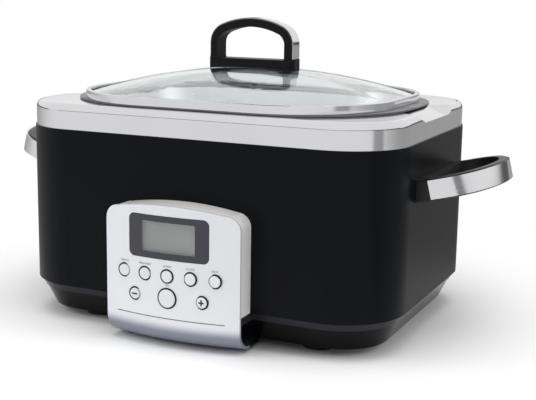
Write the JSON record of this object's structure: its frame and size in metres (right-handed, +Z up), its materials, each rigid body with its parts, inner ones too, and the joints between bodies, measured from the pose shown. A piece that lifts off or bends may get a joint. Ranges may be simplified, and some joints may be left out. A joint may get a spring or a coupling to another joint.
{
  "type": "slow cooker",
  "caption": "Rectangular electric slow cooker: black housing, polished rim, lift-out pot, domed glass lid with loop handle, bowed button console and ring side handles.",
  "frame": {"origin": "on the floor, under the middle of the whole cooker's box", "axes": "+X to the cooker's right seen from the front, +Y to the rear, +Z up; the console faces -Y"},
  "size_m": [0.5466, 0.34, 0.3041],
  "materials": {
    "black_paint": "satin",
    "polished_steel": "polished",
    "sheet_steel": "satin",
    "black_plastic": "satin moulded",
    "gloss_black": "gloss",
    "rubber": "matte",
    "silver_panel": "satin silver",
    "bright_surround": "bright",
    "bezel": "gloss",
    "screen": "matte grey",
    "clear_lens": "clear",
    "silver_button": "satin silver",
    "lid_glass": "clear",
    "handle_plastic": "satin charcoal",
    "pot_metal": "coated",
    "heater_metal": "cast",
    "insulation": "fibre blanket",
    "board": "board",
    "screw_steel": "plated"
  },
  "bodies": {
    "cooker": {"outer_housing": "black_paint", "rim_ring": "polished_steel", "base_tray": "gloss_black", "rubber_feet": "rubber", "inner_liner": "sheet_steel", "heating_plate": "heater_metal", "heater_band": "sheet_steel", "insulation_wrap": "insulation", "support_posts": "screw_steel", "base_screws": "screw_steel", "temperature_sensor": "heater_metal", "sensor_clip": "sheet_steel", "thermal_fuse": "screen", "power_board": "board", "board_standoffs": "black_plastic", "transformer": "screen", "relay": "black_plastic", "cord_gland": "black_plastic", "front_panel": "silver_panel", "console_shell": "bright_surround", "console_base": "gloss_black", "display_bezel": "bezel", "display_lens": "clear_lens", "lcd_module": "screen", "lcd_holder": "black_plastic", "control_board": "board", "key_switches": "black_plastic", "left_handle_grip": "black_plastic", "right_handle_grip": "black_plastic", "left_handle_trim": "polished_steel", "right_handle_trim": "polished_steel", "handle_screws": "screw_steel"},
    "pot": {"cooking_pot": "pot_metal"},
    "lid": {"lid_glass": "lid_glass", "lid_band": "polished_steel", "lid_handle": "handle_plastic", "lid_handle_trim": "polished_steel", "lid_screws": "screw_steel", "lid_washers": "rubber"},
    "button_1": {"button_1": "silver_button"},
    "button_2": {"button_2": "silver_button"},
    "button_3": {"button_3": "silver_button"},
    "button_4": {"button_4": "silver_button"},
    "button_5": {"button_5": "silver_button"},
    "minus_button": {"minus_button": "silver_button"},
    "start_button": {"start_button": "silver_button"},
    "plus_button": {"plus_button": "silver_button"}
  },
  "joints": [
    {"name": "pot_lift", "type": "slide", "parent": "cooker", "child": "pot", "axis": [0, 0, 1], "range_m": [0, 0.15]},
    {"name": "lid_lift", "type": "slide", "parent": "pot", "child": "lid", "axis": [0, 0, 1], "range_m": [0, 0.09]},
    {"name": "button_1_press", "type": "slide", "parent": "cooker", "child": "button_1", "axis": [0, 1, 0], "range_m": [0, 0.001], "stiffness_N_per_m": 600},
    {"name": "button_2_press", "type": "slide", "parent": "cooker", "child": "button_2", "axis": [0, 1, 0], "range_m": [0, 0.001], "stiffness_N_per_m": 600},
    {"name": "button_3_press", "type": "slide", "parent": "cooker", "child": "button_3", "axis": [0, 1, 0], "range_m": [0, 0.001], "stiffness_N_per_m": 600},
    {"name": "button_4_press", "type": "slide", "parent": "cooker", "child": "button_4", "axis": [0, 1, 0], "range_m": [0, 0.001], "stiffness_N_per_m": 600},
    {"name": "button_5_press", "type": "slide", "parent": "cooker", "child": "button_5", "axis": [0, 1, 0], "range_m": [0, 0.001], "stiffness_N_per_m": 600},
    {"name": "minus_button_press", "type": "slide", "parent": "cooker", "child": "minus_button", "axis": [0, 1, 0], "range_m": [0, 0.001], "stiffness_N_per_m": 600},
    {"name": "start_button_press", "type": "slide", "parent": "cooker", "child": "start_button", "axis": [0, 1, 0], "range_m": [0, 0.001], "stiffness_N_per_m": 600},
    {"name": "plus_button_press", "type": "slide", "parent": "cooker", "child": "plus_button", "axis": [0, 1, 0], "range_m": [0, 0.001], "stiffness_N_per_m": 600}
  ]
}
